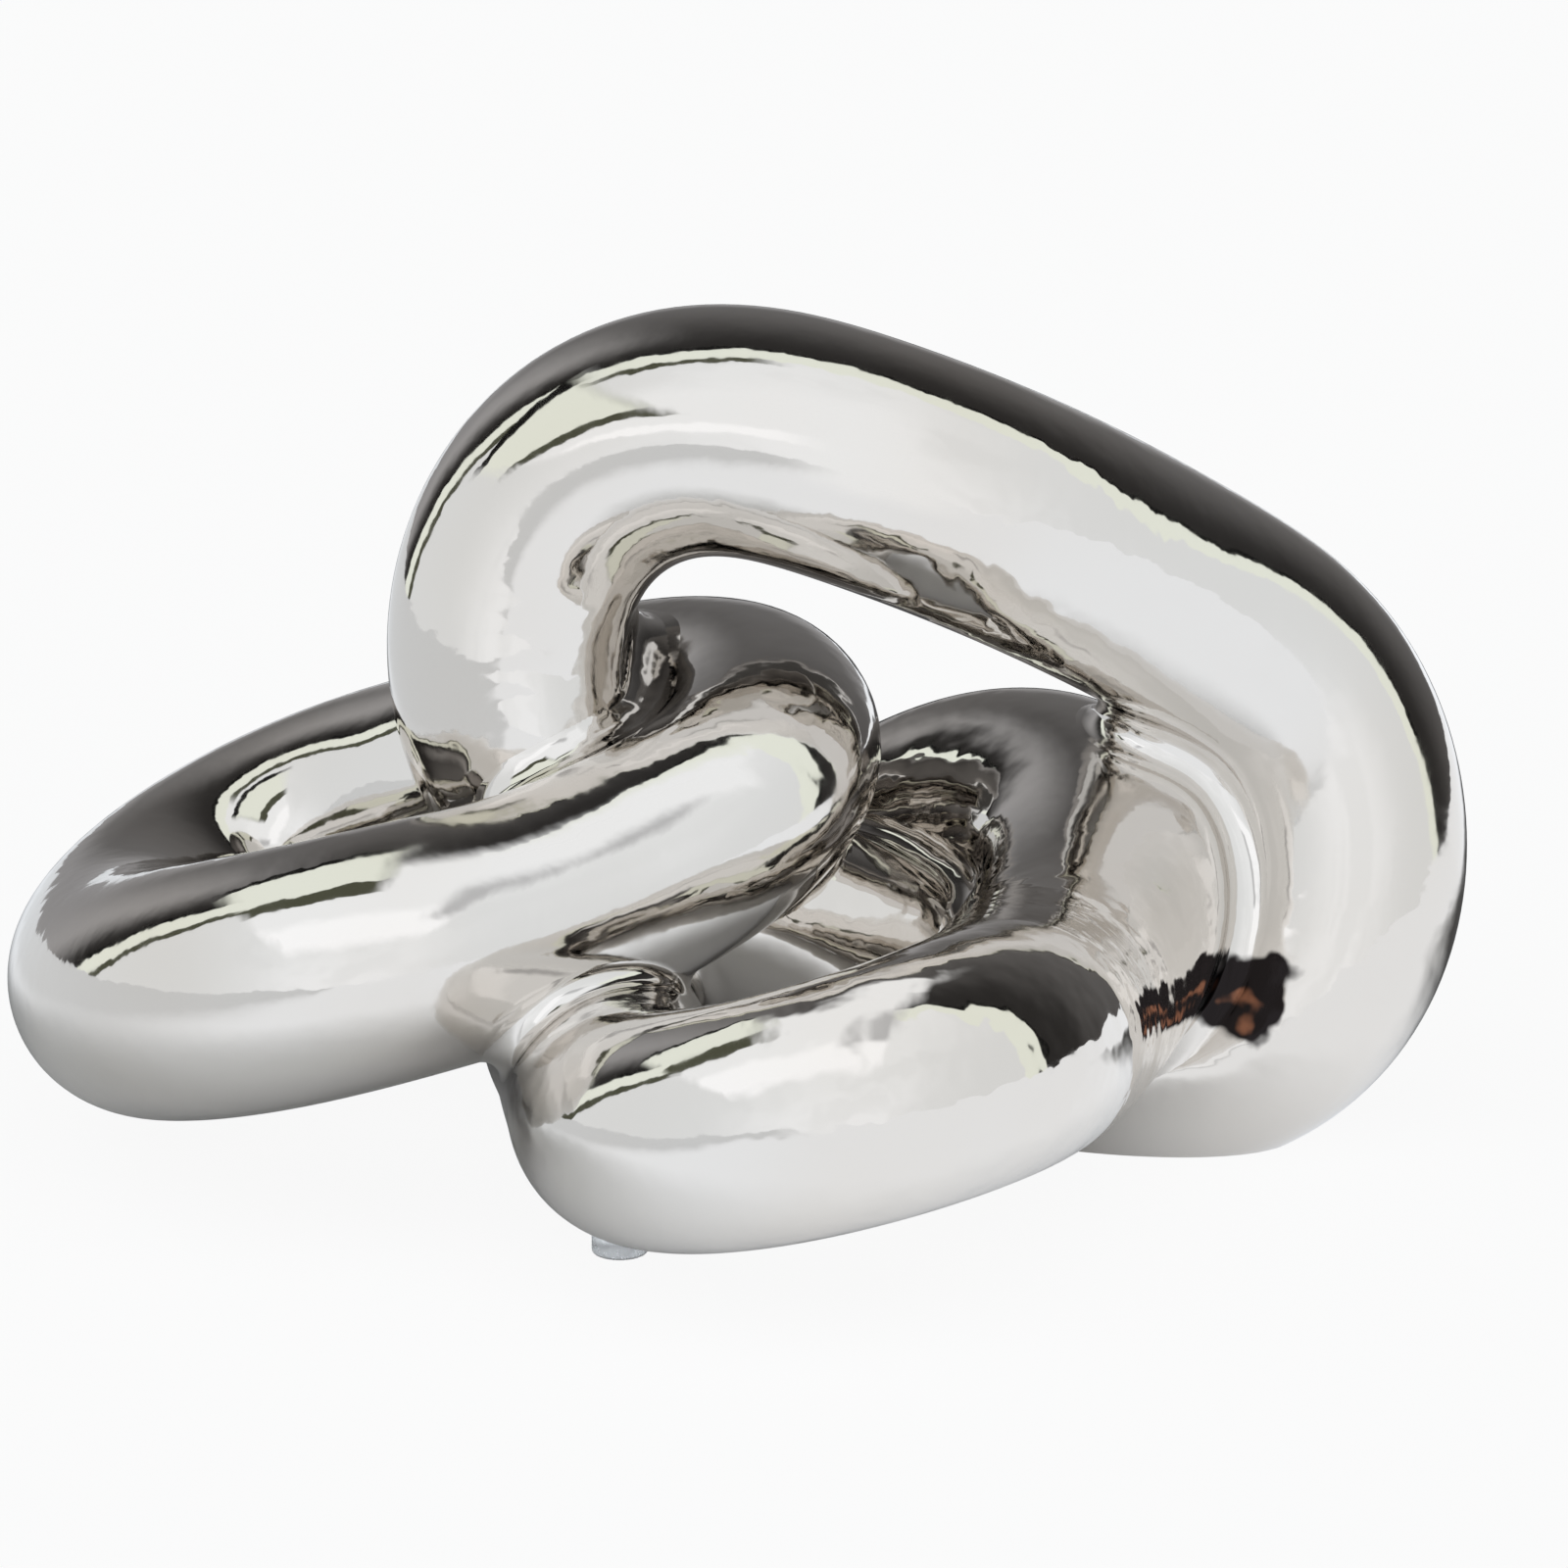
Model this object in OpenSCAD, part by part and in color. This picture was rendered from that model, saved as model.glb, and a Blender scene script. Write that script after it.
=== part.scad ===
/* [Left link] */
// Half the distance between the two end bends of the left link
left_half = 12.5; // [6:0.5:18]
// Radius of its left end bend, to the middle of the tube
left_tail_r = 45; // [42:0.5:52]
// Radius of its right end bend, to the middle of the tube
left_head_r = 46; // [42:0.5:52]
// Radius of its tube
left_tube_r = 21.5; // [20:0.1:23]
// How much thicker the tube is at the right end
left_head_swell = -1.4; // [-2:0.1:2]
// How much thicker the tube is on the far side
left_side_swell = 0.1; // [-2:0.1:2]
// Out of plane bow: both ends up, both sides down
left_bow = 4.2; // [2:0.2:6]
// Out of plane twist along the link
left_twist = 0.4; // [-2:0.2:2]
// Out of plane cup, three waves round the link
left_cup = -0.2; // [-2:0.2:2]
// Out of plane warp, three waves round the link
left_warp = -0.6; // [-3:0.2:1]
// How far the ends push out and the sides draw in
left_waist = -9.8; // [-11:0.2:-7]
// How far the bends lean along the diagonal
left_skew = -8; // [-10:0.2:-6]
// In plane three sided rounding
left_taper = -5.2; // [-7:0.2:-3]
// In plane three sided lean
left_lean = -5.6; // [-7:0.2:-3]
// Place of the middle of the link to the right
left_x = -60; // [-64:0.5:-54]
// Place of the middle of the link to the back
left_y = 18.5; // [14:0.5:24]
// Turn of the long axis about the vertical, in degrees
left_turn = 58.5; // [54:0.5:64]
// Rise of the long axis to the right, in degrees
left_rise = 14.5; // [10:0.5:20]
// Roll about the long axis, in degrees
left_roll = -14.5; // [-20:0.5:-10]
// Gap between the table and the underside of the left link
left_lift = 10.5; // [6:0.5:20]

/* [Front link] */
// Half the distance between the two end bends of the front link
front_half = 34; // [29:0.5:41]
// Radius of its left end bend, to the middle of the tube
front_tail_r = 41.5; // [36:0.5:46]
// Radius of its right end bend, to the middle of the tube
front_head_r = 43; // [38:0.5:48]
// Radius of its tube
front_tube_r = 21.5; // [20:0.1:23]
// How much thicker the tube is at the right end
front_head_swell = 0.6; // [-2:0.1:2]
// How much thicker the tube is on the far side
front_side_swell = -1.5; // [-2:0.1:2]
// Out of plane bow: both ends up, both sides down
front_bow = 5; // [3:0.2:7]
// Out of plane twist along the link
front_twist = -1.8; // [-4:0.2:0]
// Out of plane cup, three waves round the link
front_cup = 1.6; // [0:0.2:4]
// Out of plane warp, three waves round the link
front_warp = -3.2; // [-5:0.2:-1]
// How far the ends push out and the sides draw in
front_waist = -2; // [-5:0.2:-1]
// How far the bends lean along the diagonal
front_skew = 6.8; // [5:0.2:9]
// In plane three sided rounding
front_taper = -4.2; // [-6:0.2:-2]
// In plane three sided lean
front_lean = -4.6; // [-6:0.2:-2]
// Place of the middle of the link to the right
front_x = 16.5; // [12:0.5:22]
// Place of the middle of the link to the back
front_y = 0.5; // [-4:0.5:6]
// Turn of the long axis about the vertical, in degrees
front_turn = 72; // [67:0.5:77]
// Rise of the long axis to the right, in degrees
front_rise = 5; // [0:0.5:10]
// Roll about the long axis, in degrees
front_roll = -13; // [-18:0.5:-8]

/* [Top link] */
// Half the distance between the two end bends of the top link
top_half = 47; // [42:0.5:54]
// Radius of its left end bend, to the middle of the tube
top_tail_r = 39.5; // [35:0.5:45]
// Radius of its right end bend, to the middle of the tube
top_head_r = 41.5; // [37:0.5:47]
// Radius of its tube
top_tube_r = 21.8; // [20:0.1:23]
// How much thicker the tube is at the right end
top_head_swell = -0.3; // [-2:0.1:2]
// How much thicker the tube is on the far side
top_side_swell = 0.9; // [-2:0.1:2]
// Out of plane bow: both ends up, both sides down
top_bow = 0.2; // [-2:0.2:2]
// Out of plane twist along the link
top_twist = -2.6; // [-5:0.2:-1]
// Out of plane cup, three waves round the link
top_cup = 4.6; // [2:0.2:6]
// Out of plane warp, three waves round the link
top_warp = -4.4; // [-6:0.2:-2]
// How far the ends push out and the sides draw in
top_waist = -4.8; // [-7:0.2:-3]
// How far the bends lean along the diagonal
top_skew = -2.2; // [-4:0.2:0]
// In plane three sided rounding
top_taper = 1; // [-1:0.2:3]
// In plane three sided lean
top_lean = -0.6; // [-3:0.2:1]
// Place of the middle of the link to the right
top_x = 33.5; // [28:0.5:38]
// Place of the middle of the link to the back
top_y = 29.5; // [24:0.5:34]
// Turn of the long axis about the vertical, in degrees
top_turn = 4; // [-1:0.5:9]
// Rise of the long axis to the right, in degrees
top_rise = -25; // [-30:0.5:-20]
// Roll about the long axis, in degrees
top_roll = 95.5; // [90:0.5:100]
// How much of the lower bend of the top link is cut off flat to stand on
base_cut = 7.5; // [4:0.5:16]

/* [Beads and bumpers] */
// Radius that the slip bead between two links reaches out past their tubes
bead = 2.6; // [1.5:0.1:4]
// Thickness of the slip layer between two links where they press together
slip = 0.3; // [0.2:0.1:0.6]
// Radius of the bumpers under the front link
pad_r = 5; // [3:0.5:7]
// Height of the bumper at the front link's lowest point
pad_h = 1.8; // [1:0.2:3]
// Rounding of the bumpers' lower edge
pad_round = 0.8; // [0.2:0.1:0.9]
// Where the near bumper sits, in degrees round the front link from its right end
pad_angle = 142; // [134:1:156]

/* [Hidden] */
// Rings along each link
stations = 52;
// Points round each ring
sides = 26;
// Degrees between the places whose mean softens the run of a link
soften = 4;
// Block that stands for the table when the foot is cut flat
table_size = 800;

// Each link's shape in its own plane, and its two turns
left_shape = [left_half, left_tail_r, left_head_r, left_tube_r, left_head_swell, left_side_swell,
    left_bow, left_twist, left_cup, left_warp, left_waist, left_skew, left_taper, left_lean];
front_shape = [front_half, front_tail_r, front_head_r, front_tube_r, front_head_swell, front_side_swell,
    front_bow, front_twist, front_cup, front_warp, front_waist, front_skew, front_taper, front_lean];
top_shape = [top_half, top_tail_r, top_head_r, top_tube_r, top_head_swell, top_side_swell,
    top_bow, top_twist, top_cup, top_warp, top_waist, top_skew, top_taper, top_lean];

// Angle between the straight sides and the long axis when the two end bends differ
function wedge(s) = asin((s[1] - s[2]) / (2 * s[0]));
function head_arc(s) = (180 - 2 * wedge(s)) * PI / 180 * s[2];
function tail_arc(s) = (180 + 2 * wedge(s)) * PI / 180 * s[1];
function side_run(s) = 2 * s[0] * cos(wedge(s));
function whole_run(s) = head_arc(s) + tail_arc(s) + 2 * side_run(s);

// Point on an end bend at angle a, followed by the angle of its outward normal
function on_bend(centre, r, a) = [centre + r * cos(a), r * sin(a), a];
// Point on a straight side, d along it from the bend where its normal is a
function on_side(centre, r, a, d) = [centre + r * cos(a) - d * sin(a), r * sin(a) + d * cos(a), a];
// The belt round the two bends, d along it from the middle of the right bend
function belt(s, d) =
    let (h = head_arc(s) / 2, t = tail_arc(s), g = side_run(s), a = 90 - wedge(s))
    d < h ? on_bend(s[0], s[2], d / s[2] * 180 / PI)
    : d < h + g ? on_side(s[0], s[2], a, d - h)
    : d < h + g + t ? on_bend(-s[0], s[1], a + (d - h - g) / s[1] * 180 / PI)
    : d < h + g + t + g ? on_side(-s[0], s[1], 360 - a, d - h - g - t)
    : on_bend(s[0], s[2], 360 - a + (d - h - 2 * g - t) / s[2] * 180 / PI);

// Middle of the tube at a degrees round the link, moved in and out of the plain belt
function bent_belt(s, a) =
    let (b = belt(s, a / 360 * whole_run(s)),
        out = s[10] * cos(2 * a) + s[11] * sin(2 * a) + s[12] * cos(3 * a) + s[13] * sin(3 * a),
        up = s[6] * cos(2 * a) + s[7] * sin(2 * a) + s[8] * cos(3 * a) + s[9] * sin(3 * a))
    [b[0] + out * cos(b[2]), b[1] + out * sin(b[2]), up];
// The same, softened where straight sides run into bends: a weighted mean of the places near by
function whole_turn(a) = a - 360 * floor(a / 360);
function weighted(s, a, k) = (4 - abs(k)) / 16 * bent_belt(s, whole_turn(a + k * soften));
function spine(s, a) = weighted(s, a, -3) + weighted(s, a, -2) + weighted(s, a, -1) + weighted(s, a, 0)
    + weighted(s, a, 1) + weighted(s, a, 2) + weighted(s, a, 3);
function girth(s, a) = s[3] + s[4] * cos(a) + s[5] * sin(a);

// Turning a point: roll about the long axis, then the rise of the long axis, then the turn
function rolled(p, a) = [p[0], p[1] * cos(a) - p[2] * sin(a), p[1] * sin(a) + p[2] * cos(a)];
function risen(p, a) = [p[0] * cos(a) - p[2] * sin(a), p[1], p[0] * sin(a) + p[2] * cos(a)];
function turned(p, a) = [p[0] * cos(a) - p[1] * sin(a), p[0] * sin(a) + p[1] * cos(a), p[2]];
function posed(p, pose) = turned(risen(rolled(p, pose[2]), pose[1]), pose[0]);
function unit(v) = v / norm(v);

// One ring of the tube at a degrees round the link, square to the spine
function ring(s, pose, a, grow) =
    let (step = 1,
        along = unit(posed(spine(s, a + step) - spine(s, a - step), pose)),
        out = unit(cross(along, posed([0, 0, 1], pose))),
        up = cross(out, along),
        c = posed(spine(s, a), pose),
        r = girth(s, a) + grow)
    [for (j = [0:sides - 1]) c + r * (cos(360 * j / sides) * out + sin(360 * j / sides) * up)];
function rings(s, pose, grow = 0) = [for (i = [0:stations - 1]) ring(s, pose, 360 * i / stations, grow)];

function lowest(tube) = min([for (r = tube) for (p = r) p[2]]);
function shifted(tube, v) = [for (r = tube) [for (p = r) p + v]];

// Every link first lies about its own middle, then goes to its place and down to its resting height
left_pose = [left_turn, left_rise, left_roll];
front_pose = [front_turn, front_rise, front_roll];
top_pose = [top_turn, top_rise, top_roll];
left_loose = rings(left_shape, left_pose);
front_loose = rings(front_shape, front_pose);
top_loose = rings(top_shape, top_pose);
left_at = [left_x, left_y, left_lift - lowest(left_loose)];
front_at = [front_x, front_y, pad_h - lowest(front_loose)];
top_at = [top_x, top_y, -base_cut - lowest(top_loose)];

// The sculpture stands with the middle of its outline over the origin
every = concat(shifted(left_loose, left_at), shifted(front_loose, front_at), shifted(top_loose, top_at));
every_x = [for (r = every) for (p = r) p[0]];
every_y = [for (r = every) for (p = r) p[1]];
middle = [(min(every_x) + max(every_x)) / 2, (min(every_y) + max(every_y)) / 2, 0];

// Bumpers under the front link: one at its lowest point, one under its near end
front_points = [for (r = shifted(front_loose, front_at - middle)) for (p = r) p];
back_pad_at = [for (p = front_points) if (p[2] < pad_h + 0.0001) p][0];
front_pad_at = posed(spine(front_shape, pad_angle), front_pose) + front_at - middle;
near_pad = [for (p = front_points) if (norm([p[0] - front_pad_at[0], p[1] - front_pad_at[1]]) < pad_r + 4) p[2]];
front_pad_h = min(near_pad);

// A closed round tube through the rings: one short length between each ring and the next
module tube(list) {
    for (i = [0:stations - 1]) {
        pair = concat(list[i], list[(i + 1) % stations]);
        hull() polyhedron(points = pair, faces = lengths);
    }
}
// Faces of one short length: its two ends and the skin between them
lengths = concat(
    [[for (j = [0:sides - 1]) j]],
    [[for (j = [sides - 1:-1:0]) sides + j]],
    [for (j = [0:sides - 1]) [j, j + sides, (j + 1) % sides + sides, (j + 1) % sides]]);

module left_tube(grow = 0) tube(shifted(rings(left_shape, left_pose, grow), left_at - middle));
module front_tube(grow = 0) tube(shifted(rings(front_shape, front_pose, grow), front_at - middle));
module top_tube(grow = 0) tube(shifted(rings(top_shape, top_pose, grow), top_at - middle));
module table() translate([-table_size / 2, -table_size / 2, -table_size]) cube([table_size, table_size, table_size]);

// The link that stands up: whole, with its foot cut flat
module top_link() {
    color("silver") difference() {
        top_tube();
        table();
    }
}
// The low link in front, hollowed where the top link passes through it
module front_link() {
    color("silver") difference() {
        front_tube();
        top_tube(slip);
    }
}
// The raised link on the left, hollowed where it leans on the other two
module left_link() {
    color("silver") difference() {
        left_tube();
        top_tube(slip);
        front_tube(slip);
    }
}

// Slip worked into the crease where two links press together, out to where both tubes are within the bead
module left_top_bead() {
    color("silver") difference() {
        intersection() {
            left_tube(bead);
            top_tube(bead);
        }
        left_tube();
        top_tube();
        front_tube();
        table();
    }
}
// Where all three links come together the slip belongs to the bead of the first two
module front_top_bead() {
    color("silver") difference() {
        intersection() {
            front_tube(bead);
            top_tube(bead);
        }
        left_tube(bead);
        top_tube();
        front_tube();
        table();
    }
}
module left_front_bead() {
    color("silver") difference() {
        intersection() {
            left_tube(bead);
            front_tube(bead);
        }
        left_tube();
        top_tube(bead);
        front_tube();
        table();
    }
}

// Round bumper of height h, its lower edge rounded, standing on the table at p
module bumper(p, h) {
    color("lightgray") translate([p[0], p[1], 0]) rotate_extrude($fn = 48) union() {
        square([pad_r - pad_round, h]);
        translate([0, pad_round]) square([pad_r, h - pad_round]);
        translate([pad_r - pad_round, pad_round]) circle(pad_round, $fn = 32);
    }
}
module front_pad() bumper(front_pad_at, front_pad_h);
module back_pad() bumper(back_pad_at, pad_h);

left_link();
front_link();
top_link();
left_top_bead();
front_top_bead();
left_front_bead();
front_pad();
back_pad();
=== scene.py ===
from math import cos, sin, pi, asin, radians

import bmesh
import bpy
from bpy.props import (FloatProperty, FloatVectorProperty, IntProperty,
                       PointerProperty)
from mathutils import Matrix, Vector
from mathutils.kdtree import KDTree


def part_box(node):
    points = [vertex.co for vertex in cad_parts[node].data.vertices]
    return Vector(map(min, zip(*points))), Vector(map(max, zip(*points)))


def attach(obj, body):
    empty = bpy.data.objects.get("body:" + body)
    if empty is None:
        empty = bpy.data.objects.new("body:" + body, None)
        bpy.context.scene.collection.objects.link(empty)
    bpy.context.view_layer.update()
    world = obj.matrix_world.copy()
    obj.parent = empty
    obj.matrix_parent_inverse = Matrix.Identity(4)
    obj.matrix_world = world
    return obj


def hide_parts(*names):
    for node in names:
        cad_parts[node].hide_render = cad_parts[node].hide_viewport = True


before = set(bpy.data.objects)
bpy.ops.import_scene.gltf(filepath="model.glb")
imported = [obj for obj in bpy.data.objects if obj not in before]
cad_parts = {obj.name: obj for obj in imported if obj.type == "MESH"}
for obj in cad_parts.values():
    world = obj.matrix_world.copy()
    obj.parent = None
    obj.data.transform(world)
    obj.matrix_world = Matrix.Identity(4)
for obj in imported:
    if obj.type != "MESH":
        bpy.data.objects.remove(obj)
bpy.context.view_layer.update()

bl_info = {
    "name": "Ceramic chain sculpture",
    "version": (1, 0, 0),
    "blender": (4, 5, 0),
    "location": "View3D > Sidebar > Chain",
    "description": "Three heavy silver glazed chain links, the glaze beads "
                   "that bond them, their bumpers and a plain studio",
    "category": "Add Mesh",
}


# Sizes and colours that a user would change

class LeftLinkSizes(bpy.types.PropertyGroup):
    """Shape and place of the left link, in the numbers of the CAD source"""
    belt: FloatVectorProperty(
        name="Belt", size=3, unit="LENGTH", default=(0.0125, 0.0450, 0.0460),
        description="Half the distance between the end bends, and the "
                    "radius of the left and of the right bend")
    tube: FloatVectorProperty(
        name="Tube", size=3, unit="LENGTH", default=(0.0215, -0.0014, 0.0001),
        description="Radius of the tube, and how much thicker it is at the "
                    "right end and on the far side")
    rise_waves: FloatVectorProperty(
        name="Out of plane", size=4, unit="LENGTH",
        default=(0.0042, 0.0004, -0.0002, -0.0006),
        description="Bow, twist, cup and warp out of the link's plane")
    side_waves: FloatVectorProperty(
        name="In plane", size=4, unit="LENGTH",
        default=(-0.0098, -0.0080, -0.0052, -0.0056),
        description="Waist, skew, taper and lean in the link's plane")
    place: FloatVectorProperty(
        name="Place", size=2, unit="LENGTH", default=(-0.0600, 0.0185),
        description="Middle of the link to the right and to the back")
    turns: FloatVectorProperty(
        name="Turns", size=3, unit="ROTATION",
        default=(radians(58.5), radians(14.5), radians(-14.5)),
        description="Turn about the vertical, rise to the right and roll")
    floor: FloatProperty(
        name="Gap", unit="LENGTH", default=0.0105,
        description="Gap between the table and the link's underside")


class FrontLinkSizes(bpy.types.PropertyGroup):
    """Shape and place of the front link, in the numbers of the CAD source"""
    belt: FloatVectorProperty(
        name="Belt", size=3, unit="LENGTH", default=(0.0340, 0.0415, 0.0430),
        description="Half the distance between the end bends, and the "
                    "radius of the left and of the right bend")
    tube: FloatVectorProperty(
        name="Tube", size=3, unit="LENGTH", default=(0.0215, 0.0006, -0.0015),
        description="Radius of the tube, and how much thicker it is at the "
                    "right end and on the far side")
    rise_waves: FloatVectorProperty(
        name="Out of plane", size=4, unit="LENGTH",
        default=(0.0050, -0.0018, 0.0016, -0.0032),
        description="Bow, twist, cup and warp out of the link's plane")
    side_waves: FloatVectorProperty(
        name="In plane", size=4, unit="LENGTH",
        default=(-0.0020, 0.0068, -0.0042, -0.0046),
        description="Waist, skew, taper and lean in the link's plane")
    place: FloatVectorProperty(
        name="Place", size=2, unit="LENGTH", default=(0.0165, 0.0005),
        description="Middle of the link to the right and to the back")
    turns: FloatVectorProperty(
        name="Turns", size=3, unit="ROTATION",
        default=(radians(72), radians(5), radians(-13)),
        description="Turn about the vertical, rise to the right and roll")
    floor: FloatProperty(
        name="Gap", unit="LENGTH", default=0.0018,
        description="Gap between the table and the link's underside, which "
                    "is the height of the bumper at its lowest point")


class TopLinkSizes(bpy.types.PropertyGroup):
    """Shape and place of the top link, in the numbers of the CAD source"""
    belt: FloatVectorProperty(
        name="Belt", size=3, unit="LENGTH", default=(0.0470, 0.0395, 0.0415),
        description="Half the distance between the end bends, and the "
                    "radius of the left and of the right bend")
    tube: FloatVectorProperty(
        name="Tube", size=3, unit="LENGTH", default=(0.0218, -0.0003, 0.0009),
        description="Radius of the tube, and how much thicker it is at the "
                    "right end and on the far side")
    rise_waves: FloatVectorProperty(
        name="Out of plane", size=4, unit="LENGTH",
        default=(0.0002, -0.0026, 0.0046, -0.0044),
        description="Bow, twist, cup and warp out of the link's plane")
    side_waves: FloatVectorProperty(
        name="In plane", size=4, unit="LENGTH",
        default=(-0.0048, -0.0022, 0.0010, -0.0006),
        description="Waist, skew, taper and lean in the link's plane")
    place: FloatVectorProperty(
        name="Place", size=2, unit="LENGTH", default=(0.0335, 0.0295),
        description="Middle of the link to the right and to the back")
    turns: FloatVectorProperty(
        name="Turns", size=3, unit="ROTATION",
        default=(radians(4), radians(-25), radians(95.5)),
        description="Turn about the vertical, rise to the right and roll")
    floor: FloatProperty(
        name="Gap", unit="LENGTH", default=-0.0075,
        description="Below zero, how much of the lowest bend is cut off "
                    "flat for the foot")


class GlazeSizes(bpy.types.PropertyGroup):
    """Glaze beads, bumpers and mesh density"""
    beads: FloatVectorProperty(
        name="Beads", size=3, unit="LENGTH", default=(0.0055, 0.0045, 0.0035),
        description="Radius of the hollow bead of glaze between the left and "
                    "top links, the front and top links, and the left and "
                    "front links")
    crease: FloatProperty(
        name="Reach of a bond", unit="LENGTH", default=0.0010,
        description="Two links that come nearer than this are bonded")
    foot_edge: FloatProperty(
        name="Foot edge", unit="LENGTH", default=0.0009,
        description="Rounding of the ground edge of the top link's foot")
    bumper: FloatVectorProperty(
        name="Bumper", size=2, unit="LENGTH", default=(0.0050, 0.0008),
        description="Radius of a bumper and the rounding of its edge")
    stations: IntProperty(
        name="Rings", default=240, min=48,
        description="Rings along each link")
    sides: IntProperty(
        name="Sides", default=112, min=24,
        description="Points round each ring")


class FinishColours(bpy.types.PropertyGroup):
    """Colours of the glaze, the bumpers and the studio"""
    silver: FloatVectorProperty(
        name="Silver", subtype="COLOR", size=3, min=0, max=1,
        default=(0.70, 0.672, 0.636),
        description="Colour of the silver lustre glaze")
    warm_silver: FloatVectorProperty(
        name="Warm silver", subtype="COLOR", size=3, min=0, max=1,
        default=(0.68, 0.641, 0.594),
        description="Colour of the glaze where it lies a little thinner")
    rubber: FloatVectorProperty(
        name="Bumper", subtype="COLOR", size=3, min=0, max=1,
        default=(0.86, 0.87, 0.87),
        description="Colour of the clear soft bumpers")
    floor: FloatVectorProperty(
        name="Floor", subtype="COLOR", size=3, min=0, max=1,
        default=(0.80, 0.80, 0.80),
        description="Colour of the table and backdrop")


SHAPES = (("left_link", "left_sizes"), ("front_link", "front_sizes"),
          ("top_link", "top_sizes"))


# Shape of a link

def belt_point(half, tail, head, length):
    """Place and outward angle on the belt round the two end bends"""
    wedge = asin((tail - head) / (2 * half))
    bend = (pi - 2 * wedge) * head / 2
    back = (pi + 2 * wedge) * tail
    side = 2 * half * cos(wedge)
    lean = pi / 2 - wedge
    if length < bend:
        x, r, a, past = half, head, length / head, 0.0
    elif length < bend + side:
        x, r, a, past = half, head, lean, length - bend
    elif length < bend + side + back:
        x, r, a, past = -half, tail, lean + (length - bend - side) / tail, 0.0
    elif length < bend + 2 * side + back:
        x, r, a = -half, tail, 2 * pi - lean
        past = length - bend - side - back
    else:
        x, r, past = half, head, 0.0
        a = 2 * pi - lean + (length - bend - back - 2 * side) / head
    return (x + r * cos(a) - past * sin(a), r * sin(a) + past * cos(a), a,
            2 * bend + back + 2 * side)


STEPS = 720         # places kept along the run of a link
SOFT = 32           # places to each side whose mean softens the run
ASIDE = 2           # places before and after that give the run's direction


class Link:
    """One chain link: the run of the middle of its tube and its girth"""

    def __init__(self, sizes):
        self.sizes = sizes
        turn, rise, roll = sizes.turns
        pose = (Matrix.Rotation(turn, 4, "Z") @ Matrix.Rotation(-rise, 4, "Y")
                @ Matrix.Rotation(roll, 4, "X"))
        self.normal = (pose @ Vector((0, 0, 1))).normalized()
        plain = [pose @ self.bent_belt(2 * pi * i / STEPS)
                 for i in range(STEPS)]
        weights = [(k, (SOFT - abs(k)) / SOFT ** 2)
                   for k in range(1 - SOFT, SOFT)]
        self.run = []
        for i in range(STEPS):
            soft = Vector((0, 0, 0))
            for k, weight in weights:
                soft += plain[(i + k) % STEPS] * weight
            self.run.append(soft)
        tube_r, head_swell, side_swell = sizes.tube
        self.girth = [tube_r + head_swell * cos(2 * pi * i / STEPS)
                      + side_swell * sin(2 * pi * i / STEPS)
                      for i in range(STEPS)]
        self.along = [(self.run[(i + ASIDE) % STEPS]
                       - self.run[i - ASIDE]).normalized()
                      for i in range(STEPS)]

    def bent_belt(self, t):
        """Middle of the tube in the link's own plane, before softening"""
        half, tail, head = self.sizes.belt
        waist, skew, taper, lean = self.sizes.side_waves
        bow, twist, cup, warp = self.sizes.rise_waves
        whole = belt_point(half, tail, head, 0.0)[3]
        x, y, a, _ = belt_point(half, tail, head, t / (2 * pi) * whole)
        out = (waist * cos(2 * t) + skew * sin(2 * t)
               + taper * cos(3 * t) + lean * sin(3 * t))
        up = (bow * cos(2 * t) + twist * sin(2 * t)
              + cup * cos(3 * t) + warp * sin(3 * t))
        return Vector((x + out * cos(a), y + out * sin(a), up))

    def ring_place(self, i):
        """Place of ring i: columns out, up and along, and its middle"""
        out = self.along[i].cross(self.normal).normalized()
        up = out.cross(self.along[i])
        turned = Matrix((out, up, self.along[i])).transposed().to_4x4()
        return Matrix.Translation(self.run[i]) @ turned

    def box(self):
        """Lowest and highest place of the tube's skin on each axis"""
        reach = [[girth * (1 - along[k] ** 2) ** 0.5 for k in range(3)]
                 for girth, along in zip(self.girth, self.along)]
        return [(min(p[k] - r[k] for p, r in zip(self.run, reach)),
                 max(p[k] + r[k] for p, r in zip(self.run, reach)))
                for k in range(3)]

    def shift(self, way):
        """Moves the whole link"""
        self.run = [p + way for p in self.run]

    def settle(self):
        """Index of the run, which the glaze beads are measured from"""
        self.tree = KDTree(STEPS)
        for i, point in enumerate(self.run):
            self.tree.insert(point, i)
        self.tree.balance()

    def reach(self, point):
        """Distance from the tube's skin, and the way straight off it"""
        _, i, _ = self.tree.find(point)
        best = None
        for j in (i - 1, i):
            k = (j + 1) % STEPS
            a, b = self.run[j], self.run[k]
            side = b - a
            part = min(1.0, max(0.0, (point - a).dot(side)
                                / side.length_squared))
            foot = a + side * part
            r = self.girth[j] * (1 - part) + self.girth[k] * part
            gap = (point - foot).length
            if best is None or gap - r < best[0]:
                best = (gap - r, (point - foot) / gap)
        return best


def links(scene):
    """The three links at their places, centred as the CAD is"""
    made = {}
    for name, group in SHAPES:
        sizes = getattr(scene, group)
        link = Link(sizes)
        link.shift(Vector((*sizes.place, sizes.floor - link.box()[2][0])))
        made[name] = link
    boxes = [link.box() for link in made.values()]
    middle = [(min(b[k][0] for b in boxes) + max(b[k][1] for b in boxes)) / 2
              for k in range(2)]
    for link in made.values():
        link.shift(Vector((-middle[0], -middle[1], 0)))
        link.settle()
    return made


# Meshes and objects

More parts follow.
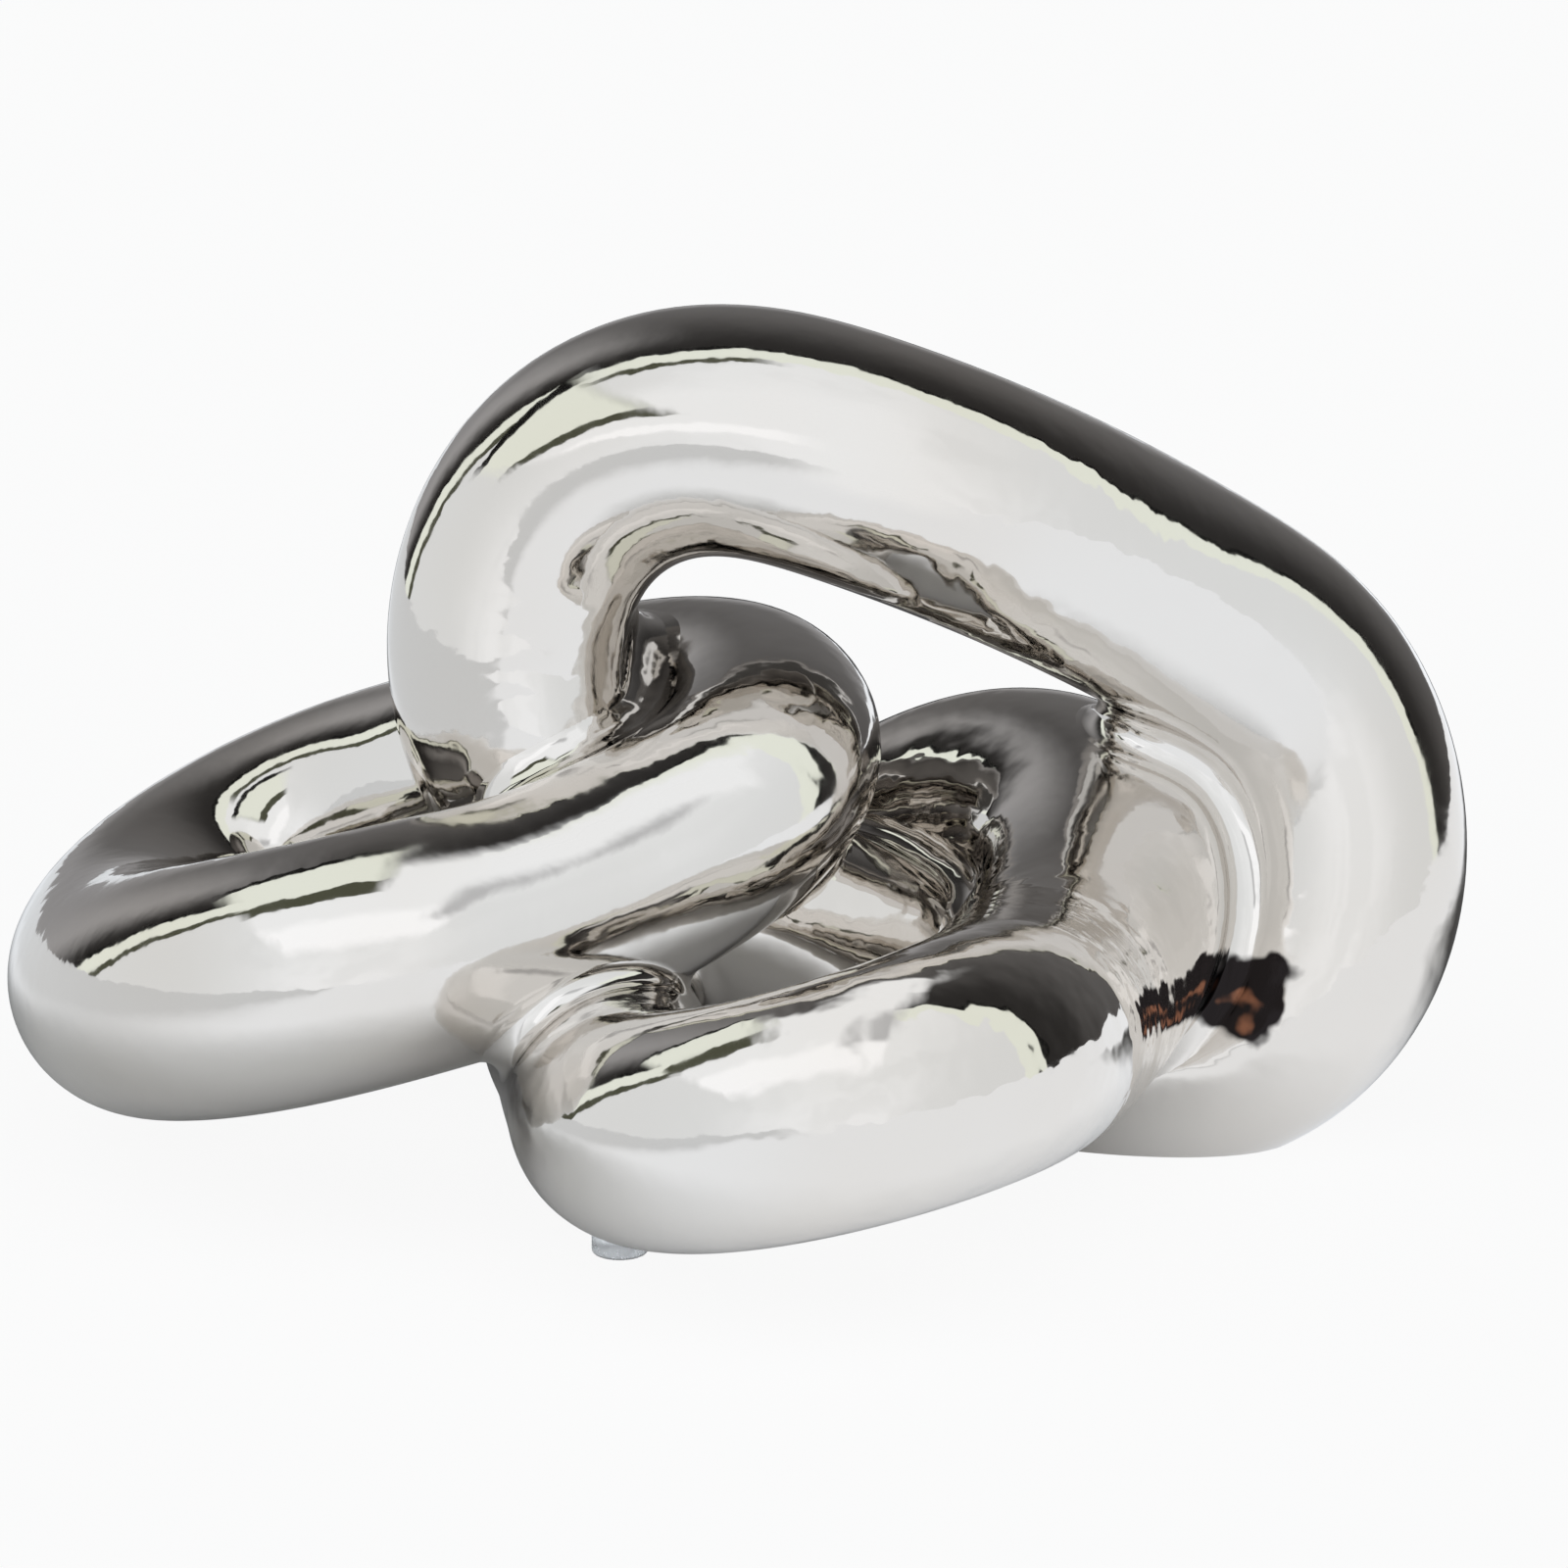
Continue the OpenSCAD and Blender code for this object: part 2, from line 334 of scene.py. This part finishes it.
def as_object(bm, name, material, nodes):
    """Mesh data made an object that stands for its CAD nodes"""
    mesh = bpy.data.meshes.new(name)
    bm.to_mesh(mesh)
    bm.free()
    piece = bpy.data.objects.new(name, mesh)
    bpy.context.scene.collection.objects.link(piece)
    mesh.materials.append(material)
    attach(piece, "root")
    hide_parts(*nodes)


def staged(bm, name, paper):
    """Mesh data made an object of the studio, apart from the sculpture"""
    mesh = bpy.data.meshes.new(name)
    bm.to_mesh(mesh)
    bm.free()
    thing = bpy.data.objects.new(name, mesh)
    bpy.context.scene.collection.objects.link(thing)
    mesh.materials.append(paper)
    return thing


def shaded_smooth(bm):
    """The whole skin facing outwards and shaded smooth"""
    bmesh.ops.recalc_face_normals(bm, faces=bm.faces)
    for face in bm.faces:
        face.smooth = True


def join_rings(bm):
    """A closed row of rings joined by a skin"""
    bmesh.ops.bridge_loops(bm, edges=bm.edges[:], use_cyclic=True)
    if any(len(edge.link_faces) != 2 for edge in bm.edges):
        raise RuntimeError("The skin of a tube or bead isn't closed")


def link_tube(link, stations, sides):
    """Closed smooth tube of one link"""
    bm = bmesh.new()
    for i in range(0, STEPS, STEPS // stations):
        bmesh.ops.create_circle(
            bm, cap_ends=False, segments=sides, radius=link.girth[i],
            matrix=link.ring_place(i))
    join_rings(bm)
    shaded_smooth(bm)
    return bm


TOUCH = 1e-6        # heights that differ by less are the same
FOOT_STEPS = 3      # steps round the edge of the foot


def stand_on_foot(bm, rounding):
    """The lowest bend ground off flat on the table, with a soft edge"""
    cut = bmesh.ops.bisect_plane(
        bm, geom=bm.verts[:] + bm.edges[:] + bm.faces[:], dist=TOUCH,
        plane_co=(0, 0, 0), plane_no=(0, 0, -1), clear_outer=True)
    rim = [e for e in cut["geom_cut"] if isinstance(e, bmesh.types.BMEdge)]
    cap = bmesh.ops.edgenet_fill(bm, edges=rim)
    for face in cap["faces"]:
        face.smooth = False
    bmesh.ops.bevel(bm, geom=rim, offset=rounding, offset_type="OFFSET",
                    segments=FOOT_STEPS, profile=0.5, affect="EDGES",
                    material=-1, clamp_overlap=True)
    bmesh.ops.recalc_face_normals(bm, faces=bm.faces)


# Glaze beads

BOND_SPAN = 30          # a bond is the closest of so many places each way
SEATING_TRIES = 30      # moves that a ball gets to find its seat
LONGEST_MOVE = 0.002    # of the ball in one try
FLATTEST = 0.98         # keeps skins that are nearly parallel solvable
SEATED = 1e-7           # miss under which the ball is seated
LOST = 1e-4             # miss over which it doesn't touch both links
BALL_STEP = 0.0016      # way along the crease from one ring to the next
FEWEST_RINGS = 12       # of a closed track
MOST_RINGS = 900
CLOSED = 0.8            # share of a step from the start that closes a track
SAME_TRACK = 2.5        # steps within which a ball lies on a known track
STARTS = 16             # places tried round a bond
START_OUT = 0.026       # how far from the bond they are
ARC_STEPS = 12          # points across the hollow of a bead
SUNK = 2e-5             # how far a bead's edges are under the skin
BEHIND = 0.0008         # how far its hidden side is behind the crease
DEEPEST = 0.004         # most that the crease counts as behind the ball
WIDEST = 0.05           # least cosine of half the angle of the crease
SHARP = radians(50)     # edges that turn more than this stay sharp


def bonds(a, b, near):
    """Places where two links come together"""
    gaps = []
    for point, r in zip(a.run, a.girth):
        gap, way = b.reach(point)
        gaps.append((gap - r, point - way * (r + (gap - r) / 2), way))
    found = []
    for i, (gap, middle, way) in enumerate(gaps):
        window = [gaps[(i + k) % len(gaps)][0]
                  for k in range(-BOND_SPAN, BOND_SPAN + 1)]
        if gap < near and gap == min(window):
            found.append((middle, way))
    return found


def seated_ball(a, b, ball, roll):
    """A ball of that radius moved until it touches both links"""
    for _ in range(SEATING_TRIES):
        gap_a, off_a = a.reach(ball)
        gap_b, off_b = b.reach(ball)
        miss_a, miss_b = gap_a - roll, gap_b - roll
        lean = off_a.dot(off_b)
        part = 1 - min(lean * lean, FLATTEST)
        push_a = (lean * miss_b - miss_a) / part
        push_b = (lean * miss_a - miss_b) / part
        move = off_a * push_a + off_b * push_b
        if move.length > LONGEST_MOVE:
            move *= LONGEST_MOVE / move.length
        ball = ball + move
        if abs(miss_a) + abs(miss_b) < SEATED:
            break
    return ball, off_a, off_b, abs(miss_a) + abs(miss_b)


def ball_track(a, b, ball, roll):
    """The closed track of a ball rolled along the crease of two links"""
    track = []
    while len(track) < MOST_RINGS:
        ball, off_a, off_b, miss = seated_ball(a, b, ball, roll)
        if miss > LOST:
            return []
        track.append((ball, off_a, off_b))
        gone = (ball - track[0][0]).length
        if len(track) > FEWEST_RINGS and gone < BALL_STEP * CLOSED:
            return track
        ball = ball + off_a.cross(off_b).normalized() * BALL_STEP
    return []


def ball_tracks(a, b, near, roll):
    """All the tracks round the bonds of two links, each one once"""
    tracks = []
    for middle, across in bonds(a, b, near):
        first = across.orthogonal().normalized()
        second = across.cross(first).normalized()
        for i in range(STARTS):
            angle = 2 * pi * i / STARTS
            start = middle + (first * cos(angle)
                              + second * sin(angle)) * START_OUT
            ball, _, _, miss = seated_ball(a, b, start, roll)
            known = any((ball - p[0]).length < SAME_TRACK * BALL_STEP
                        for track in tracks for p in track)
            if miss > LOST or known:
                continue
            track = ball_track(a, b, ball, roll)
            if track:
                tracks.append(track)
    return tracks


def glaze_bead(bm, track, roll):
    """Hollow bead of glaze in the crease: what a rolled ball would smooth,
    closed inside the two links"""
    for ball, off_a, off_b in track:
        open_angle = off_a.angle(off_b)
        axis = off_a.cross(off_b).normalized()
        corner = bm.verts.new(ball - off_a * (roll + SUNK))
        arc = bmesh.ops.spin(bm, geom=[corner], cent=ball, axis=axis,
                             angle=open_angle, steps=ARC_STEPS)
        last = [v for v in arc["geom_last"]
                if isinstance(v, bmesh.types.BMVert)][0]
        deep = min(roll / max(cos(open_angle / 2), WIDEST),
                   roll + DEEPEST)
        inner = bm.verts.new(ball - (off_a + off_b).normalized()
                             * (deep + BEHIND))
        bm.edges.new((last, inner))
        bm.edges.new((inner, corner))
    join_rings(bm)


def bead_mesh(a, b, near, roll):
    """All the beads between two links"""
    bm = bmesh.new()
    for track in ball_tracks(a, b, near, roll):
        one = bmesh.new()
        glaze_bead(one, track, roll)
        mesh = bpy.data.meshes.new("bead")
        one.to_mesh(mesh)
        one.free()
        bm.from_mesh(mesh)
        bpy.data.meshes.remove(mesh)
    shaded_smooth(bm)
    for edge in bm.edges:
        edge.smooth = edge.calc_face_angle(0) < SHARP
    return bm


# Finishes

class Flow:
    """An output of a node tree, on which sums are written in Python"""

    def __init__(self, recipe, socket):
        self.recipe, self.socket = recipe, socket

    def sum(self, kind, *terms):
        """A Math node of that kind on these terms"""
        return self.recipe.node("ShaderNodeMath", {"operation": kind},
                                dict(enumerate(terms)))

    def __add__(self, other):
        return self.sum("ADD", self, other)

    def __sub__(self, other):
        return self.sum("SUBTRACT", self, other)

    def __rsub__(self, other):
        return self.sum("SUBTRACT", other, self)

    def __mul__(self, other):
        return self.sum("MULTIPLY", self, other)

    __radd__ = __add__
    __rmul__ = __mul__


class Recipe:
    """Fills the node tree of a material or of the world"""

    def __init__(self, owner):
        owner.use_nodes = True
        self.tree = owner.node_tree
        self.tree.nodes.clear()

    def node(self, kind, settings=None, values=None, output=0):
        """A node with its settings, then its values and links"""
        made = self.tree.nodes.new(kind)
        for name, value in (settings or {}).items():
            setattr(made, name, value)
        for key, value in (values or {}).items():
            if isinstance(value, Flow):
                self.tree.links.new(value.socket, made.inputs[key])
            else:
                made.inputs[key].default_value = value
        return Flow(self, made.outputs[output]) if made.outputs else None

    def ease(self, value, low, high, start=0.0, end=1.0):
        """A value eased from start to end between low and high"""
        return self.node("ShaderNodeMapRange",
                         {"interpolation_type": "SMOOTHSTEP"},
                         {"Value": value, "From Min": low, "From Max": high,
                          "To Min": start, "To Max": end})

    def blend(self, part, first, second):
        """Two colours blended by part"""
        return self.node("ShaderNodeMix", {"data_type": "RGBA"},
                         {0: part, 6: first, 7: second}, 2)

    def noise(self, where, scale, detail, rough=0.5):
        """Soft noise on a place"""
        return self.node("ShaderNodeTexNoise", None,
                         {"Vector": where, "Scale": scale, "Detail": detail,
                          "Roughness": rough})

    def axes(self, where):
        """How far a place or a way is to the right, to the back and up"""
        parts = self.node("ShaderNodeSeparateXYZ", None, {0: where})
        return [Flow(self, socket) for socket in parts.socket.node.outputs]

    def apart(self, where, spot):
        """Distance of a place from a spot"""
        return self.node("ShaderNodeVectorMath", {"operation": "DISTANCE"},
                         {0: where, 1: spot}, 1)

    def ray(self, kind):
        """Whether the light path is of that kind"""
        return self.node("ShaderNodeLightPath", output=kind)

    def glow(self, colour, strength):
        """Light of that colour"""
        return self.node("ShaderNodeEmission", None,
                         {"Color": colour, "Strength": strength})

    def cover(self, part, under, over):
        """One shader over another by part"""
        return self.node("ShaderNodeMixShader", None,
                         {0: part, 1: under, 2: over})

    def surface(self, shader, output="ShaderNodeOutputMaterial"):
        """The shader made what is seen of the owner"""
        self.node(output, None, {"Surface": shader})


def solid(colour):
    """Colour with full alpha"""
    return (*colour, 1.0)


SWELL = 0.001                           # height of the glaze's unevenness
# a dark reflection painted into the glaze colour, with a little copper tint in
# its middle
DARK_REFLECTION_AT = (0.0925, 0.013, 0.0315)      # middle of the painted dark reflection
DARK_REFLECTION_EDGE = (0.0215, 0.0195)           # where its edge starts and ends
PAINTED_REFLECTION_DARK = (0.018, 0.015, 0.015, 1)
COPPER_AT = (0.0915, 0.013, 0.0270)     # middle of the copper in it
COPPER_EDGE = (0.0205, 0.0178)
DARK_REFLECTION_COPPER = (0.22, 0.095, 0.055, 1)


def silver_lustre(colours):
    """Mirror bright silver lustre over slightly uneven ceramic"""
    material = bpy.data.materials.new("silver_lustre")
    r = Recipe(material)
    place = r.node("ShaderNodeTexCoord", output="Object")
    broad = r.noise(place, scale=16.0, detail=1.0)
    ripple = r.noise(place, scale=88.0, detail=2.0, rough=0.42)
    fine = r.noise(place, scale=210.0, detail=2.0)
    cloud = r.noise(place, scale=34.0, detail=4.0, rough=0.62)
    calm = r.noise(place, scale=11.0, detail=1.0)
    uneven = r.ease(calm, 0.42, 0.62, start=0.2, end=0.95)
    thin = r.ease(broad, 0.35, 0.68)
    colour = r.blend(thin, solid(colours.silver), solid(colours.warm_silver))
    # painted dark reflection, with a little copper tint of the glaze in it, at
    # the foot of the right limb
    core = r.apart(place, COPPER_AT) + ripple * 0.030 + fine * 0.008
    near = r.apart(place, DARK_REFLECTION_AT) + ripple * 0.022 + fine * 0.004
    painted_dark_reflection = r.blend(r.ease(core, *COPPER_EDGE), PAINTED_REFLECTION_DARK, DARK_REFLECTION_COPPER)
    colour = r.blend(r.ease(near, *DARK_REFLECTION_EDGE), colour, painted_dark_reflection)
    haze = r.ease(cloud, 0.52, 0.72, end=0.10)
    rough = haze + r.ease(fine, 0.3, 0.75, start=0.04, end=0.08)
    swell = broad * 1.6 + ripple * uneven + fine * 0.05
    bump = r.node("ShaderNodeBump", None,
                  {"Strength": 1.0, "Distance": SWELL, "Height": swell})
    skin = r.node("ShaderNodeBsdfPrincipled", None,
                  {"Base Color": colour, "Metallic": 1.0, "Roughness": rough,
                   "Normal": bump})
    r.surface(skin)
    return material


GRAIN = 0.0002          # height of the bumpers' grain
GREYED = 0.86           # share of its colour that cloudy rubber keeps


def clear_rubber(colours):
    """Soft clear rubber, a little greyer in places"""
    material = bpy.data.materials.new("clear_rubber")
    r = Recipe(material)
    place = r.node("ShaderNodeTexCoord", output="Object")
    haze = r.noise(place, scale=600.0, detail=3.0)
    tone = r.blend(r.ease(haze, 0.3, 0.7), solid(colours.rubber),
                   solid([c * GREYED for c in colours.rubber]))
    grain = r.node("ShaderNodeBump", None,
                   {"Strength": 0.2, "Distance": GRAIN, "Height": haze})
    skin = r.node("ShaderNodeBsdfPrincipled", None,
                  {"Base Color": tone, "Transmission Weight": 0.75,
                   "IOR": 1.45, "Normal": grain,
                   "Roughness": r.ease(haze, 0.2, 0.8, start=0.22,
                                       end=0.36)})
    r.surface(skin)
    return material


def finish(make):
    """A finish, made once"""
    found = bpy.data.materials.get(make.__name__)
    return found or make(bpy.context.scene.finish_colours)


def glazed(bm, node):
    """A link or a bead made an object in the silver lustre"""
    as_object(bm, node + "_glazed", finish(silver_lustre),
              [node])


def plain_link(scene, node):
    """The whole tube of one link at its place"""
    sizes = scene.glaze_sizes
    return link_tube(links(scene)[node], sizes.stations, sizes.sides)


# Operators

class CHAIN_OT_left_link(bpy.types.Operator):
    """Add the left link, which rests on the other two"""
    bl_idname = "chain.left_link"
    bl_label = "Left link"

    def execute(self, context):
        glazed(plain_link(context.scene, "left_link"), "left_link")
        return {"FINISHED"}


class CHAIN_OT_front_link(bpy.types.Operator):
    """Add the front link, which lies on the table"""
    bl_idname = "chain.front_link"
    bl_label = "Front link"

    def execute(self, context):
        glazed(plain_link(context.scene, "front_link"), "front_link")
        return {"FINISHED"}


class CHAIN_OT_top_link(bpy.types.Operator):
    """Add the top link, which stands on its foot through the other two"""
    bl_idname = "chain.top_link"
    bl_label = "Top link"

    def execute(self, context):
        bm = plain_link(context.scene, "top_link")
        stand_on_foot(bm, context.scene.glaze_sizes.foot_edge)
        glazed(bm, "top_link")
        return {"FINISHED"}


BEADS = (("left_top_bead", "left_link", "top_link"),
         ("front_top_bead", "front_link", "top_link"),
         ("left_front_bead", "left_link", "front_link"))


class CHAIN_OT_glaze_beads(bpy.types.Operator):
    """Add the hollow beads of glaze that bond the links"""
    bl_idname = "chain.glaze_beads"
    bl_label = "Glaze beads"

    def execute(self, context):
        made = links(context.scene)
        sizes = context.scene.glaze_sizes
        for radius, (node, first, second) in zip(sizes.beads, BEADS):
            bm = bead_mesh(made[first], made[second], sizes.crease, radius)
            if not bm.faces:
                raise RuntimeError("No bond was found for " + node)
            glazed(bm, node)
        return {"FINISHED"}


BUMPER_SIDES = 48       # points round a bumper
BUMPER_STEPS = 5        # steps round its edge


class CHAIN_OT_bumpers(bpy.types.Operator):
    """Add the two clear bumpers under the front link"""
    bl_idname = "chain.bumpers"
    bl_label = "Bumpers"

    def execute(self, context):
        radius, rounding = context.scene.glaze_sizes.bumper
        for node in ("front_pad", "back_pad"):
            low, high = (Vector(c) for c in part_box(node))
            bm = bmesh.new()
            bmesh.ops.create_cone(
                bm, cap_ends=True, cap_tris=False, segments=BUMPER_SIDES,
                radius1=radius, radius2=radius, depth=high.z - low.z,
                matrix=Matrix.Translation((low + high) / 2))
            edge = [e for e in bm.edges
                    if all(v.co.z < low.z + TOUCH for v in e.verts)]
            bmesh.ops.bevel(bm, geom=edge, offset=rounding,
                            offset_type="OFFSET", segments=BUMPER_STEPS,
                            profile=0.5, affect="EDGES", material=-1)
            for face in bm.faces:
                face.smooth = len(face.verts) == 4
            as_object(bm, node + "_soft", finish(clear_rubber),
                      [node])
        return {"FINISHED"}


# Studio

LAMP = 1.2              # strength of the room's light and of the card
CAMERA_WHITE = (0.833, 0.833, 0.833, 1)     # becomes white by LAMP
PAPER_WHITE = (1, 1, 1, 1)
COOL_WHITE = (1.12, 1.17, 1.24, 1)
SHADE = (0.035, 0.033, 0.033, 1)
CREAM = (0.88, 0.935, 0.87, 1)
OLIVE = (0.08, 0.085, 0.06, 1)
BLACK = (0.01, 0.01, 0.01, 1)

TABLE_HALF = 3.0                            # half the table's width
UNDER_LINKS = (-0.05, 0.06, 0)              # middle of its matt part
SEEN_WHITE = 0.92                           # its glow to the camera,
THROUGH_WHITE = 0.9                         # through the clear bumpers,
SHADED = 0.9                                # and its darkness behind

UNIT_HALF = 0.5                             # of a sheet before its size
CARD_AT, CARD_SIZE = (-0.065, -0.125, 0.185), (0.27, 0.31)
FLAP_AT, FLAP_SIZE = (0.03, -0.035, 0.148), (0.08, 0.074)
CARD_NEAR = (1.10, 1.14, 1.20, 1)
CARD_FAR = (0.97, 1.01, 1.06, 1)
CARD_GREY = (0.56, 0.58, 0.61, 1)

ROOM_LEFT = (0.29, 0.288, 0.295, 1)
ROOM_RIGHT = (0.12, 0.118, 0.12, 1)
ROOM_HIGH = (0.14, 0.138, 0.14, 1)
ROOM_EDGE = (0.028, 0.027, 0.027, 1)
ROOM_FAR_LEFT = (0.34, 0.34, 0.35, 1)
FRONT_LOW = (0.98, 1.02, 1.075, 1)
FRONT_HIGH = (0.93, 0.97, 1.015, 1)
FRONT_DIM = (0.80, 0.835, 0.87, 1)

LENS, SENSOR = 154.3, 36.0                  # of the camera, in millimetres
SHIFT = 0.028                               # share of the frame to the side
CAMERA_AT = (0.0003, -1.1552, 0.3844)
CAMERA_TILT = radians(75.06)


def table_paper(colour):
    """White paper with a soft shadow, which the glaze sees brighter in
    front and dark behind the links"""
    paper = bpy.data.materials.new("table_paper")
    r = Recipe(paper)
    seen, mirrored, through = (r.ray("Is %s Ray" % kind) for kind in
                               ("Camera", "Glossy", "Transmission"))
    place = r.node("ShaderNodeTexCoord", output="Object")
    matt = r.node("ShaderNodeBsdfDiffuse", None, {"Color": solid(colour)})
    white = r.glow(r.blend(mirrored, PAPER_WHITE, COOL_WHITE), 1.0)
    right, back, _ = r.axes(place)
    behind = (r.ease(back, 0.02, 0.12) * r.ease(right, -0.22, -0.10)
              * r.ease(right, 0.30, 0.20))
    off_links = r.ease(r.apart(place, UNDER_LINKS), 0.10, 0.20, end=0.95)
    lit = (seen * SEEN_WHITE + through * THROUGH_WHITE
           + mirrored * (1 - behind) * off_links
           * r.ease(right, -0.28, -0.12, start=0.5))
    # painted shade: a dark glow that the glaze sees on the table behind the
    # links
    r.surface(r.cover(mirrored * behind * SHADED, r.cover(lit, matt, white),
                      r.glow(SHADE, 1.0)))
    return paper


def card_paper():
    """White light of the card and its flap, with soft edges, and with the
    bands of a window's frame at the left"""
    paper = bpy.data.materials.new("card_paper")
    r = Recipe(paper)
    right, back, up = r.axes(r.node("ShaderNodeTexCoord", output="Object"))
    left = r.ease(right, -0.05, -0.07)
    grey = (r.ease(right, 0.0, 0.03) * r.ease(back, -0.06, -0.09)
            * r.ease(back, -0.17, -0.14))
    tone = r.blend(r.ease(back, -0.14, -0.11), CARD_NEAR, CARD_FAR)
    tone = r.blend(grey, tone, CARD_GREY)
    for start, end, band in ((-0.074, -0.072, OLIVE),
                             (-0.047, -0.045, CREAM),
                             (0.018, 0.020, BLACK)):
        tone = r.blend(left * r.ease(back, start, end), tone, band)
    flap = r.ease(up, 0.184, 0.180)
    whole = (r.ease(right, -0.2, -0.17) * r.ease(right, 0.060, 0.035)
             * r.ease(back, -0.28, -0.20) * r.ease(up, 0.111, 0.125)
             * (left + (1 - left) * r.ease(back, 0.0, -0.03))
             * (1 - flap * r.ease(right, 0.015, -0.008)))
    clear = r.node("ShaderNodeBsdfTransparent")
    r.surface(r.cover(whole, clear, r.glow(tone, LAMP)))
    return paper


def room_light():
    """World with a white front, a window's frame and a dark back"""
    world = bpy.data.worlds.new("studio")
    r = Recipe(world)
    way = r.node("ShaderNodeTexCoord", output="Generated")
    right, back, up = r.axes(way)
    aside = r.node("ShaderNodeMath", {"operation": "ABSOLUTE"}, {0: right})
    to_left = r.node("ShaderNodeMath", {"operation": "MINIMUM"},
                     {0: right, 1: 0.0})
    # the dark back ends a little short of overhead, and low at the left
    # it starts farther back
    edge = back - up * 0.12 + to_left * 0.7 * (1 - up)
    room = r.blend(r.ease(right, 0.2, 0.6), ROOM_LEFT, ROOM_RIGHT)
    room = r.blend(r.ease(up, 0.3, 0.02), ROOM_HIGH, room)
    room = r.blend(r.ease(edge, 0.05, 1.0), ROOM_EDGE, room)
    room = r.blend(r.ease(right, -0.15, -0.65) * r.ease(edge, 0.05, 0.4),
                   room, ROOM_FAR_LEFT)
    cloth = r.noise(way, scale=3.2, detail=2.0)
    front = r.blend(r.ease(up, 0.1, 0.6), FRONT_LOW, FRONT_HIGH)
    front = r.blend(r.ease(aside, 0.2, 0.95), front, FRONT_DIM)
    front = r.blend(r.ease(cloth, 0.45, 0.65, end=0.35), front, FRONT_DIM)
    frame_bar = (r.ease(edge, -0.27, -0.26) * r.ease(edge, -0.18, -0.19)
                 * r.ease(right, 0.05, -0.15))
    sky = r.blend(r.ease(edge, -0.19, -0.18), front, CREAM)
    sky = r.blend(frame_bar, sky, OLIVE)
    sky = r.blend(r.ease(edge, -0.03, -0.02), sky, BLACK)
    sky = r.blend(r.ease(edge, 0.015, 0.035), sky, room)
    colour = r.blend(r.ray("Is Camera Ray"), sky, CAMERA_WHITE)
    light = r.node("ShaderNodeBackground", None,
                   {"Color": colour, "Strength": LAMP})
    r.surface(light, "ShaderNodeOutputWorld")
    return world


def flat_grid(bm, cuts, half, place):
    """A flat square grid, turned, sized and moved by place"""
    bmesh.ops.create_grid(bm, x_segments=cuts, y_segments=cuts, size=half,
                          matrix=place)


class CHAIN_OT_studio(bpy.types.Operator):
    """Add the table, the soft light of the room and the camera"""
    bl_idname = "chain.studio"
    bl_label = "Studio"

    def execute(self, context):
        scene = context.scene
        scene.view_settings.view_transform = "Standard"

        bm = bmesh.new()
        flat_grid(bm, 2, TABLE_HALF, Matrix())
        staged(bm, "table", table_paper(scene.finish_colours.floor))

        # a white card over the near links, as a photographer hangs one,
        # with a flap in front of the top link
        bm = bmesh.new()
        flat_grid(bm, 1, UNIT_HALF, Matrix.Translation(CARD_AT)
                  @ Matrix.Diagonal((*CARD_SIZE, 1, 1)))
        flat_grid(bm, 1, UNIT_HALF, Matrix.Translation(FLAP_AT)
                  @ Matrix.Rotation(radians(90), 4, "X")
                  @ Matrix.Diagonal((*FLAP_SIZE, 1, 1)))
        card = staged(bm, "card", card_paper())
        card.visible_camera = card.visible_shadow = False
        card.visible_diffuse = False

        scene.world = room_light()

        camera = bpy.data.cameras.new("camera")
        camera.lens = LENS
        camera.sensor_width = SENSOR
        camera.shift_x = SHIFT
        eye = bpy.data.objects.new("camera", camera)
        eye.location = CAMERA_AT
        eye.rotation_euler = (CAMERA_TILT, 0, 0)
        scene.collection.objects.link(eye)
        scene.camera = eye
        return {"FINISHED"}


class CHAIN_PT_parts(bpy.types.Panel):
    """The pieces of the sculpture"""
    bl_label = "Ceramic chain"
    bl_idname = "CHAIN_PT_parts"
    bl_space_type = "VIEW_3D"
    bl_region_type = "UI"
    bl_category = "Chain"

    def draw(self, context):
        for piece in OPERATORS:
            self.layout.operator(piece.bl_idname)
        for group in GROUPS:
            settings = getattr(context.scene, group)
            box = self.layout.box()
            for name in settings.__annotations__:
                box.prop(settings, name)


OPERATORS = (CHAIN_OT_studio, CHAIN_OT_left_link, CHAIN_OT_front_link,
             CHAIN_OT_top_link, CHAIN_OT_glaze_beads, CHAIN_OT_bumpers)
GROUPS = {"left_sizes": LeftLinkSizes, "front_sizes": FrontLinkSizes,
          "top_sizes": TopLinkSizes, "glaze_sizes": GlazeSizes,
          "finish_colours": FinishColours}


def register():
    for name, group in GROUPS.items():
        bpy.utils.register_class(group)
        setattr(bpy.types.Scene, name, PointerProperty(type=group))
    for piece in (*OPERATORS, CHAIN_PT_parts):
        bpy.utils.register_class(piece)


def unregister():
    for piece in reversed((*OPERATORS, CHAIN_PT_parts)):
        bpy.utils.unregister_class(piece)
    for name, group in GROUPS.items():
        delattr(bpy.types.Scene, name)
        bpy.utils.unregister_class(group)


def main():
    register()
    bpy.ops.chain.studio()
    bpy.ops.chain.left_link()
    bpy.ops.chain.front_link()
    bpy.ops.chain.top_link()
    bpy.ops.chain.glaze_beads()
    bpy.ops.chain.bumpers()


if __name__ == "__main__":
    main()
